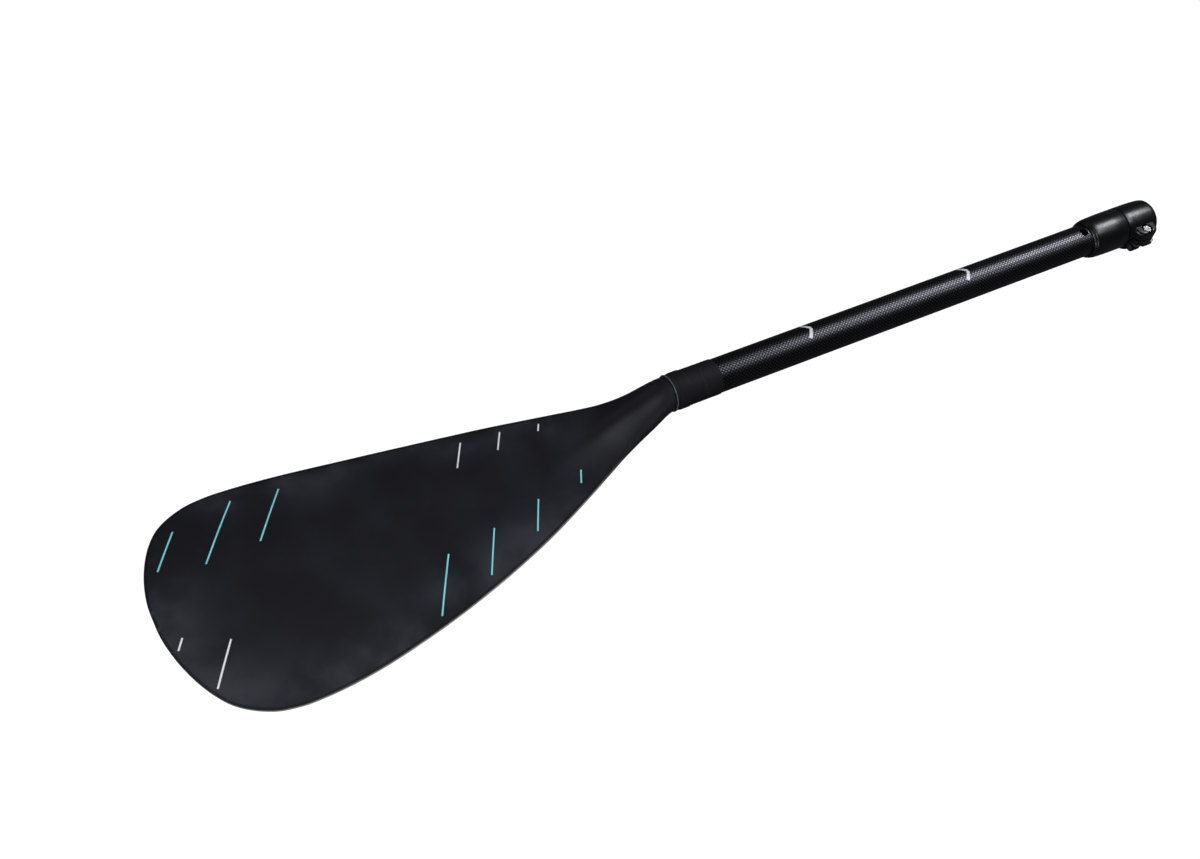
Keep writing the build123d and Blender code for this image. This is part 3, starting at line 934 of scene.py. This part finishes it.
def make_weave():
    group, w, given, result = new_group(
        "woven_tows",
        [("Along", "Float", 0.0), ("Around", "Float", 0.0),
         ("Cell", "Float", 1.5)],
        [("Height", "Float", None), ("Tone And Glint", "Float", None)])
    cell = w.math("MULTIPLY", given["Cell"], ROOT_TWO)
    p = w.math("DIVIDE", w.math("ADD", given["Along"], given["Around"]), cell)
    q = w.math("DIVIDE", w.math("SUBTRACT", given["Along"], given["Around"]), cell)
    parity = w.math("FLOORED_MODULO", w.math(
        "ADD", w.math("FLOOR", p), w.math("FLOOR", q)), 2.0)
    ridge_p = w.math("ABSOLUTE", w.math("SINE", w.math("MULTIPLY", p, math.pi)))
    ridge_q = w.math("ABSOLUTE", w.math("SINE", w.math("MULTIPLY", q, math.pi)))
    across_tow = w.blend(parity, ridge_p, ridge_q)
    along_tow = w.blend(parity, ridge_q, ridge_p)
    height = w.math("MULTIPLY", w.math("POWER", across_tow, FLAT_ACROSS),
                    w.math("POWER", along_tow, FLAT_ALONG))
    w.feed(result[0], height)
    w.feed(result[1], w.math("MULTIPLY", w.math("POWER", height, CREST_GLINT_POWER), w.math(
        "MULTIPLY_ADD", parity, CROSSING_GLINT, TONE_FIRST)))
    return group


weave_group = make_weave()
print("group:", weave_group.name)

# %% [markdown]
# Carbon fibre is half a metal: the tube is black from most sides, and where a
# light is mirrored the tows flash. So the whole tube is a dark metal, and
# only the colour, the gloss and the height tell a tow from the resin beside
# it. Two white chevrons are painted on it, with their points towards the
# clamp. They are made with the stripe group too, two stripes for each, and
# the metal is switched off under the paint.

# %% Tube material
RESIN = (0.0075, 0.0075, 0.0084, 1.0)
TOW = (0.128, 0.126, 0.141, 1.0)
TOW_WIDE = 2.4               # mm
CHEVRONS = ((143.4, 2.9), (320.2, 2.9))      # their points, along and around
CHEVRON_BACK = 5.8           # mm, how far the arms reach back from the point
CHEVRON_ARM = 9.3            # mm, how far they reach to each side
CHEVRON_HALF = 1.45          # mm, half the width of an arm
RESIN_ROUGH = 0.36           # roughness between the tows,
PATCH_ROUGH = 0.05           # what the patches add,
TOW_ROUGH = -0.08            # and what a tow takes off


def chevron_mask(w, spot):
    arms = []
    for tip, centre in CHEVRONS:
        for way in (-1.0, 1.0):
            node = w.group(stripe_group, Down=spot.outputs["Along"],
                           Across=spot.outputs["Around"], Start_Down=tip,
                           Start_Across=centre, End_Down=tip - CHEVRON_BACK,
                           End_Across=centre + way * CHEVRON_ARM,
                           Half_Width=CHEVRON_HALF)
            arms.append(node.outputs[0])
    return any_of(w, arms)


def make_woven_tube():
    material, w, place, shader = new_material(
        "woven_tube", (0.006, 0.006, 0.007), Coat_Weight=0.06, Coat_Roughness=0.3,
        Coat_IOR=1.5)
    spot = w.group(tube_place, Position=place)
    weave = w.group(weave_group, Along=spot.outputs["Along"],
                    Around=spot.outputs["Around"], Cell=TOW_WIDE)
    film = w.group(clouded_film, Position=place, Patch_Size=0.09, Streak_Size=0.01)
    body = w.mix(weave.outputs["Tone And Glint"], RESIN, TOW)
    painted = chevron_mask(w, spot)
    w.feed(shader.inputs["Base Color"], w.mix(painted, body, WHITE))
    w.feed(shader.inputs["Metallic"], w.math("SUBTRACT", 1.0, painted))
    rough = w.math("MULTIPLY_ADD", film.outputs["Patches"], PATCH_ROUGH, RESIN_ROUGH)
    w.feed(shader.inputs["Roughness"], w.math(
        "MULTIPLY_ADD", weave.outputs["Tone And Glint"], TOW_ROUGH, rough))
    bump(w, shader, weave.outputs["Height"], strength=0.5, distance=0.0002)
    return material


woven_tube = make_woven_tube()
paint(nodes["shaft_tube"], woven_tube)
print(woven_tube.name, "tows", TOW_WIDE, "mm wide")

# %% [markdown]
# ## Shrink sleeve
# Shrink sleeve is a flat black film with one wandering crease, where the film was
# lapped before it was heated. A crease could be modelled, but it is a hair high, so it
# is a bump with a glossier top, and the top is painted paler as a painted highlight.
# It runs round the tube at one place and drifts with the patches of the film.

# %% Sleeve material
FILM_DARK = (0.0034, 0.0030, 0.0056, 1.0)
FILM_PALE = (0.0053, 0.0047, 0.0080, 1.0)
# The crease-top colour is a painted highlight along the top of the crease.
CREASE_HIGHLIGHT = (0.030, 0.028, 0.034, 1.0)
CREASE_AT = 26.0             # mm along the tube from the neck
CREASE_WANDER = 3.0          # mm, how much its place drifts in all
CREASE_BAND = (0.2, 1.1)     # mm from its middle line to its foot
FILM_ROUGH = 0.70            # roughness of the film,
CREASE_ROUGH = -0.2          # and what the crease takes off


def make_sleeve_film():
    material, w, place, shader = new_material(
        "sleeve_film", (0.005, 0.0045, 0.006), Specular_IOR_Level=0.3)
    spot = w.group(tube_place, Position=place)
    film = w.group(clouded_film, Position=place, Patch_Size=0.012,
                   Streak_Size=0.002)
    grain = w.group(fine_grain, Position=place, Grain_Size=0.0009)
    wander = w.math("MULTIPLY_ADD", film.outputs["Patches"], CREASE_WANDER,
                    spot.outputs["Along"])
    off = w.math("ABSOLUTE", w.math("SUBTRACT", wander,
                                    CREASE_AT + 0.5 * CREASE_WANDER))
    crease_and_highlight = w.math("MULTIPLY", w.fall(off, *CREASE_BAND), film.outputs["Streaks"])
    body = w.mix(film.outputs["Patches"], FILM_DARK, FILM_PALE)
    # the top of the crease is painted paler: a painted highlight
    body = w.mix(w.math("MULTIPLY", crease_and_highlight, 0.5), body, CREASE_HIGHLIGHT)
    w.feed(shader.inputs["Base Color"], body)
    w.feed(shader.inputs["Roughness"],
           w.math("MULTIPLY_ADD", crease_and_highlight, CREASE_ROUGH, FILM_ROUGH))
    height = w.math("MULTIPLY_ADD", grain.outputs["Height"], 0.12, crease_and_highlight)
    bump(w, shader, height, strength=0.5, distance=0.0003)
    return material


sleeve_film = make_sleeve_film()
paint(sleeve, sleeve_film)
print(sleeve_film.name, "creased at", CREASE_AT, "mm")

# %% [markdown]
# ## Collar, bead and foam
# The collar and the lever are moulded nylon: near black, evenly satin, with a
# fine spark-eroded grain from the mould. The bead beside the sleeve is a thin
# pale line of sealant, and the core and the float plug are pale foam. All
# three are one recipe with different values: two close tones, a gloss that
# drifts, and a grain.

# %% Moulded materials
SPECK = (0.05, 0.05, 0.052, 1.0)
SPECK_SHOWS = 0.12           # how much of a speck's colour is let through
DRIFT_ROUGH = 0.07           # how much the roughness drifts


def make_satin(name, low, high, rough, grain_size, grain_strength, patch):
    """Two close tones, drifting gloss and fine grain."""
    material, w, place, shader = new_material(name, low)
    film = w.group(clouded_film, Position=place, Patch_Size=patch, Streak_Size=0.002)
    grain = w.group(fine_grain, Position=place, Grain_Size=grain_size)
    body = w.mix(film.outputs["Patches"], (*low, 1.0), (*high, 1.0))
    specks = w.math("MULTIPLY", grain.outputs["Specks"], SPECK_SHOWS)
    body = w.mix(specks, body, SPECK)
    w.feed(shader.inputs["Base Color"], body)
    drift = w.math("MULTIPLY_ADD", film.outputs["Streaks"], DRIFT_ROUGH, rough)
    w.feed(shader.inputs["Roughness"], drift)
    bump(w, shader, grain.outputs["Height"], grain_strength, distance=0.00004)
    return material


collar_nylon = make_satin(
    "collar_nylon", (0.0022, 0.0021, 0.0026), (0.0032, 0.0031, 0.0037),
    rough=0.28, grain_size=0.0005, grain_strength=0.25, patch=0.015)
bead_gum = make_satin(
    "bead_gum", (0.09, 0.092, 0.096), (0.14, 0.14, 0.144),
    rough=0.35, grain_size=0.0006, grain_strength=0.2, patch=0.006)
core_foam = make_satin(
    "core_foam", (0.62, 0.60, 0.54), (0.74, 0.72, 0.66),
    rough=0.85, grain_size=0.0011, grain_strength=0.8, patch=0.01)
for name in ("clamp_collar", "cam_lever", "neck_tenon"):
    paint(nodes[name], collar_nylon)
paint(nodes["neck_bead"], bead_gum)
for name in ("blade_core", "float_plug"):
    paint(nodes[name], core_foam)
print("painted the moulded pieces")

# %% [markdown]
# ## Small steel pieces
# The screw head is bright stainless steel, turned, so the scratches on its
# sides run in rings, and its washer is the same. The cam plate and the barrel
# are a duller steel. A stretched noise gives the scratches. They change the
# roughness and the bump and leave the colour alone, as on real metal.

# %% Steel materials
SCRATCHES = (60.0, 60.0, 5200.0)     # fine across the rings, slow along them
PALER = 1.12                 # a patch is at most this many times as bright
SCRATCH_ROUGH = 0.14         # what a scratch adds to the roughness


def make_steel(name, colour, rough):
    material, w, place, shader = new_material(name, colour, Metallic=1.0)
    stretch = w.add("ShaderNodeMapping")
    stretch.inputs["Scale"].default_value = SCRATCHES
    w.feed(stretch.inputs["Vector"], place)
    lines = w.noise(stretch.outputs[0], 1.0, detail=3.0, roughness=0.6)
    film = w.group(clouded_film, Position=place, Patch_Size=0.004, Streak_Size=0.0008)
    pale = tuple(min(1.0, PALER * c) for c in colour)
    w.feed(shader.inputs["Base Color"],
           w.mix(film.outputs["Patches"], (*colour, 1.0), (*pale, 1.0)))
    w.feed(shader.inputs["Roughness"],
           w.math("MULTIPLY_ADD", lines, SCRATCH_ROUGH, rough))
    bump(w, shader, lines, strength=0.12, distance=0.00002)
    return material


bright_steel = make_steel("bright_steel", (0.72, 0.72, 0.73), 0.18)
dark_steel = make_steel("dark_steel", (0.30, 0.30, 0.31), 0.32)
for name in ("clamp_screw", "screw_washer"):
    paint(nodes[name], bright_steel)
for name in ("cam_plate", "lever_barrel"):
    paint(nodes[name], dark_steel)
print("painted the steel pieces")

# %% [markdown]
# ## Floor
# A black object on a pale floor is hard to light: whatever makes the floor
# white also reflects in the black surface and turns it grey. A studio solves
# it with a lit table, which glows by itself, and keeps the lamps on the
# object weak. The floor here does the same. To the camera it glows just
# enough to be plain white, and to the object it is a dim sheet. The Light
# Path node tells the two apart. The open lever swings up to 28 mm below the
# lying paddle, as a person opens it with the paddle in the hand, so the table
# stands 32 mm lower and leaves it room.

# %% Floor
FLOOR_GLOW = 0.88            # how much of the floor's look is glow
GLOW_STRENGTH = 1.14
FLOOR_DIM = 0.90             # how far it is dimmed where the object reflects it
FLOOR_HALF = 30.0            # m from the middle to each side
TABLE_DROP = 0.032           # m, how far below the paddle the table stands


def mix_shaders(w, factor, a, b):
    node = w.add("ShaderNodeMixShader")
    w.feed_all(node.inputs, (factor, a, b))
    return node.outputs[0]


def make_floor():
    mesh = bpy.data.meshes.new("floor")
    r = FLOOR_HALF
    mesh.from_pydata([(-r, -r, 0), (r, -r, 0), (r, r, 0), (-r, r, 0)], [],
                     [(0, 1, 2, 3)])
    floor = bpy.data.objects.new("floor", mesh)
    bpy.context.scene.collection.objects.link(floor)
    floor.location.z = -TABLE_DROP
    material, w, _, paper = new_material("floor_paper", (0.86, 0.86, 0.86),
                                         Roughness=0.9)
    finish = next(n for n in w.tree.nodes if n.type == "OUTPUT_MATERIAL")
    seen = w.add("ShaderNodeLightPath").outputs["Is Camera Ray"]
    glow = w.add("ShaderNodeEmission")
    glow.inputs["Strength"].default_value = GLOW_STRENGTH
    black = w.add("ShaderNodeBsdfDiffuse")
    black.inputs["Color"].default_value = (0.0, 0.0, 0.0, 1.0)
    lit = mix_shaders(w, FLOOR_GLOW, paper.outputs[0], glow.outputs[0])
    dim = mix_shaders(w, FLOOR_DIM, paper.outputs[0], black.outputs[0])
    w.feed(finish.inputs["Surface"], mix_shaders(w, seen, dim, lit))
    paint(floor, material)
    return floor


floor = make_floor()
print(floor.name, "stands", TABLE_DROP, "m below the paddle")

# %% [markdown]
# ## Light
# The lights are placed with the tube in mind. A light's reflection runs down
# a tube where the surface faces halfway between the light and the eye, so the
# strip beyond the clamp end draws one soft streak along the tube, and the end
# light beside it makes the streak brighter at the collar. The key light
# stands past the blade's tip instead: there it shows the colours of the
# marks, and its reflection misses both the flat blade and the tube. The haze
# light is weak and comes from the far side, and the low light shines on the
# near edges. The rear light is for whoever walks round the paddle. It would
# draw a second streak on the tube, so light linking lets it shine on the
# blade's two skins only.

# %% Lights
COOL = (0.93, 0.95, 1.0)     # a daylight tube is a little blue


def soft_light(name, place, size, power, target, only=()):
    light = bpy.data.lights.new(name, "AREA")
    light.shape = "RECTANGLE"
    light.size, light.size_y = size
    light.energy = power
    light.color = COOL
    lamp = bpy.data.objects.new(name, light)
    lamp.location = place
    aim = Vector(target) - Vector(place)
    lamp.rotation_euler = aim.to_track_quat("-Z", "Y").to_euler()
    bpy.context.scene.collection.objects.link(lamp)
    if only:
        lit = bpy.data.collections.new(name + "_lights_only")
        for piece in only:
            lit.objects.link(piece)
        lamp.light_linking.receiver_collection = lit
    print(name, power, "W")


# name, place and size in metres, watts, and the point each one looks at
soft_light("key", (-2.4, -0.9, 1.9), (1.2, 1.4), 48.0, (0.0, 0.0, 0.03))
soft_light("strip", (1.5, -0.22, 1.6), (1.4, 0.5), 14.5, (0.25, 0.0, 0.03))
soft_light("end", (1.85, 0.2, 1.45), (0.6, 0.4), 13.0, (0.48, 0.0, 0.03))
soft_light("haze", (-0.85, 1.8, 1.3), (1.0, 0.8), 1.6, (-0.35, 0.0, 0.03))
soft_light("rear", (1.95, -1.30, 0.62), (1.2, 0.8), 14.0, (0.0, 0.0, 0.03),
           only=(front_skin, back_skin))
soft_light("low", (-0.9, -1.7, 0.30), (1.6, 0.3), 8.0, (-0.3, 0.0, 0.02))

# %% [markdown]
# The room behind the floor works like the floor: white to the eye, so that no
# horizon shows, and dim to the object. Without any room light the faces that
# no lamp reaches would be pure black and lose their shape.

# %% Room
ROOM = (0.036, 0.038, 0.044, 1.0)    # the dim walls that light the object
PLAIN_WHITE = (1.0, 1.0, 1.0, 1.0)

room = bpy.data.worlds.new("room")
room.use_nodes = True
backdrop = room.node_tree.nodes["Background"]
sky = Wiring(room.node_tree)
seen = sky.add("ShaderNodeLightPath").outputs["Is Camera Ray"]
sky.feed(backdrop.inputs[0], sky.mix(seen, ROOM, PLAIN_WHITE))
bpy.context.scene.world = room
bpy.context.scene.view_settings.view_transform = "Standard"
print("the room is dim to the object and white to the eye")
